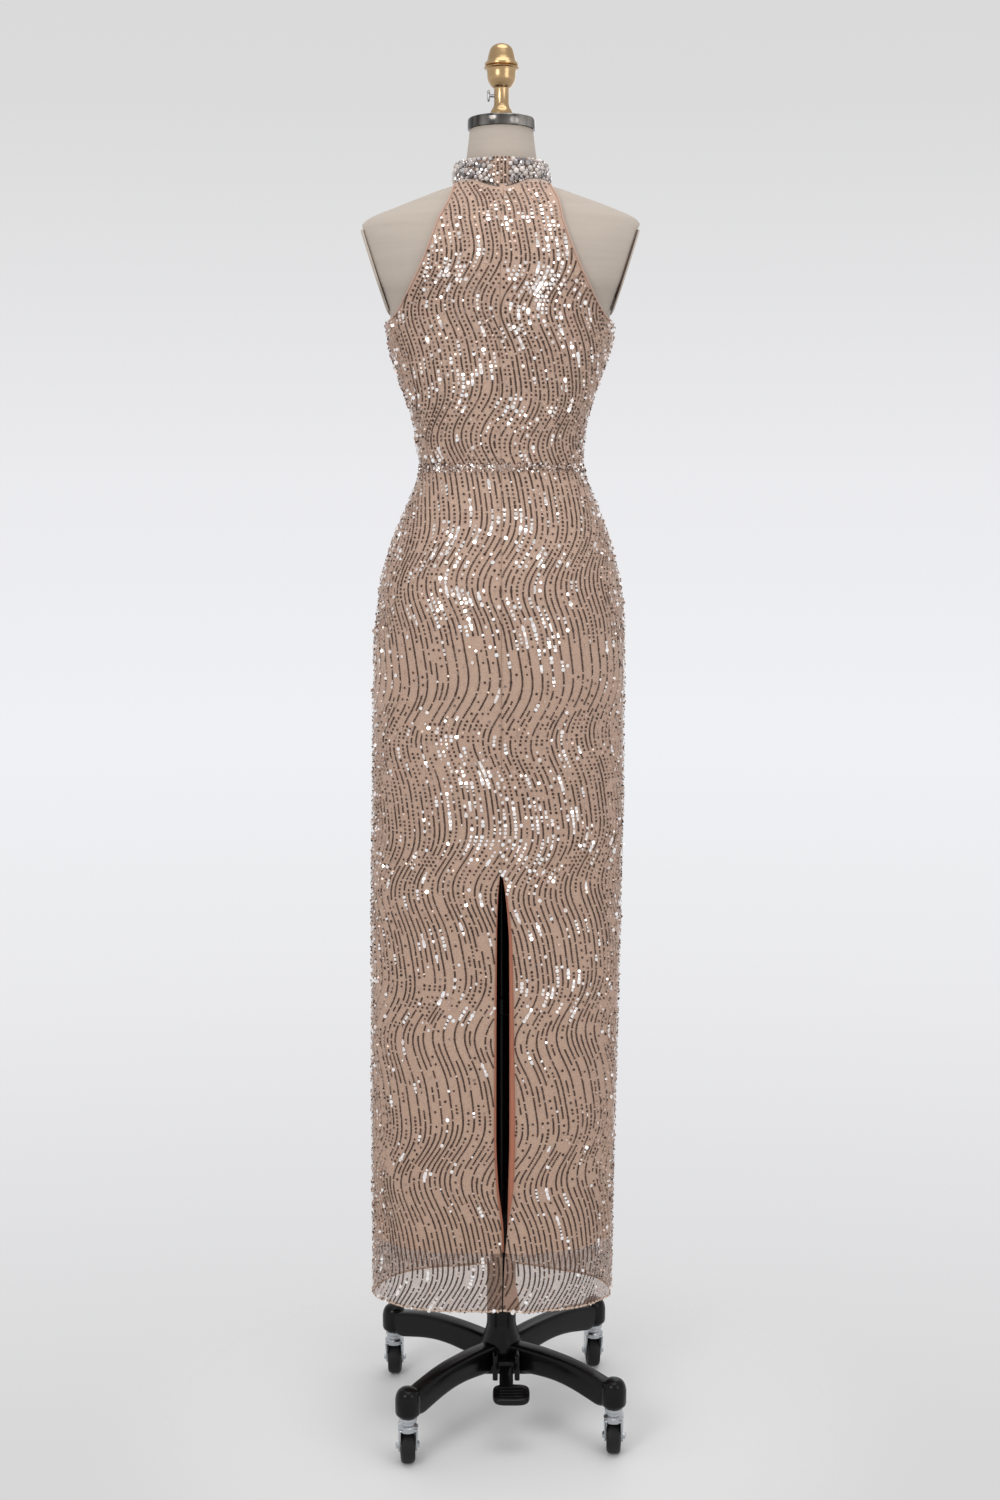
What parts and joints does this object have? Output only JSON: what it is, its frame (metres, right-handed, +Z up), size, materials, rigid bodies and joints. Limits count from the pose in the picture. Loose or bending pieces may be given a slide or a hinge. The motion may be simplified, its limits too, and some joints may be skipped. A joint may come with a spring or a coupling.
{
  "type": "evening gown on a dress form and rolling stand",
  "caption": "High-necked column evening gown in wavy sequinned net with a back walking slit, fitted on a limbless linen dress form that lifts and turns on a rolling stand.",
  "frame": {"origin": "on the floor, under the centre of the post", "axes": "+Z up along the post; -Y faces the gown's centre back with its seam and slit; +X to the right seen from that side"},
  "size_m": [0.3823, 0.3649, 1.972],
  "materials": {
    "sequin_mesh": "tan net with wavy rows of bronze and clear sequins",
    "lining_satin": "warm tan satin",
    "beaded_band": "crystals and pearls over tan net",
    "linen_cover": "natural linen",
    "plate_wood": "stained edge under linen",
    "dark_steel": "dark polished steel",
    "brass": "satin brass",
    "bright_steel": "bright zinc",
    "black_enamel": "gloss black enamel",
    "wheel_black": "black hard rubber"
  },
  "bodies": {
    "base": {"base": "black_enamel", "post_tube": "black_enamel"},
    "rod": {"post_rod": "black_enamel"},
    "form": {"torso": "linen_cover", "arm_plate_left": "plate_wood", "arm_plate_right": "plate_wood", "neck_cap": "dark_steel", "finial_stem": "brass", "finial_cap": "brass", "collar": "beaded_band", "bodice_back_left": "sequin_mesh", "bodice_back_right": "sequin_mesh", "bodice_front": "sequin_mesh", "skirt_back_left": "sequin_mesh", "skirt_back_right": "sequin_mesh", "skirt_front": "sequin_mesh", "lining_back_left": "lining_satin", "lining_back_right": "lining_satin", "lining_front": "lining_satin"},
    "pedal": {"pedal": "black_enamel"},
    "thumb_screw": {"thumb_screw": "bright_steel"},
    "caster_1": {"caster_head_1": "bright_steel"},
    "wheel_1": {"caster_wheel_1": "wheel_black"},
    "caster_2": {"caster_head_2": "bright_steel"},
    "wheel_2": {"caster_wheel_2": "wheel_black"},
    "caster_3": {"caster_head_3": "bright_steel"},
    "wheel_3": {"caster_wheel_3": "wheel_black"},
    "caster_4": {"caster_head_4": "bright_steel"},
    "wheel_4": {"caster_wheel_4": "wheel_black"}
  },
  "joints": [
    {"name": "post_lift", "type": "slide", "parent": "base", "child": "rod", "axis": [0, 0, 1], "range_m": [-0.05, 0.15]},
    {"name": "form_turn", "type": "hinge", "parent": "rod", "child": "form", "pos_m": [0, 0, 1.075], "axis": [0, 0, 1], "continuous": true},
    {"name": "pedal_press", "type": "hinge", "parent": "base", "child": "pedal", "pos_m": [0.007, -0.051, 0.099], "axis": [1, 0, 0], "range_deg": [0, 12]},
    {"name": "screw_turn", "type": "hinge", "parent": "form", "child": "thumb_screw", "pos_m": [-0.0143, 0, 1.903], "axis": [1, 0, 0], "continuous": true},
    {"name": "swivel_1", "type": "hinge", "parent": "base", "child": "caster_1", "pos_m": [-0.13167, -0.15973, 0.06], "axis": [0, 0, 1], "continuous": true},
    {"name": "roll_1", "type": "hinge", "parent": "caster_1", "child": "wheel_1", "pos_m": [-0.13313, -0.1458, 0.02482], "axis": [-0.9945, -0.1045, 0], "continuous": true},
    {"name": "swivel_2", "type": "hinge", "parent": "base", "child": "caster_2", "pos_m": [0.15973, -0.13167, 0.06], "axis": [0, 0, 1], "continuous": true},
    {"name": "roll_2", "type": "hinge", "parent": "caster_2", "child": "wheel_2", "pos_m": [0.16119, -0.11775, 0.02482], "axis": [-0.9945, 0.1045, 0], "continuous": true},
    {"name": "swivel_3", "type": "hinge", "parent": "base", "child": "caster_3", "pos_m": [0.14509, 0.14764, 0.06], "axis": [0, 0, 1], "continuous": true},
    {"name": "roll_3", "type": "hinge", "parent": "caster_3", "child": "wheel_3", "pos_m": [0.14411, 0.16161, 0.02482], "axis": [-0.9976, -0.0698, 0], "continuous": true},
    {"name": "swivel_4", "type": "hinge", "parent": "base", "child": "caster_4", "pos_m": [-0.1664, 0.12313, 0.06], "axis": [0, 0, 1], "continuous": true},
    {"name": "roll_4", "type": "hinge", "parent": "caster_4", "child": "wheel_4", "pos_m": [-0.16615, 0.13713, 0.02482], "axis": [-0.9998, 0.0175, 0], "continuous": true}
  ]
}
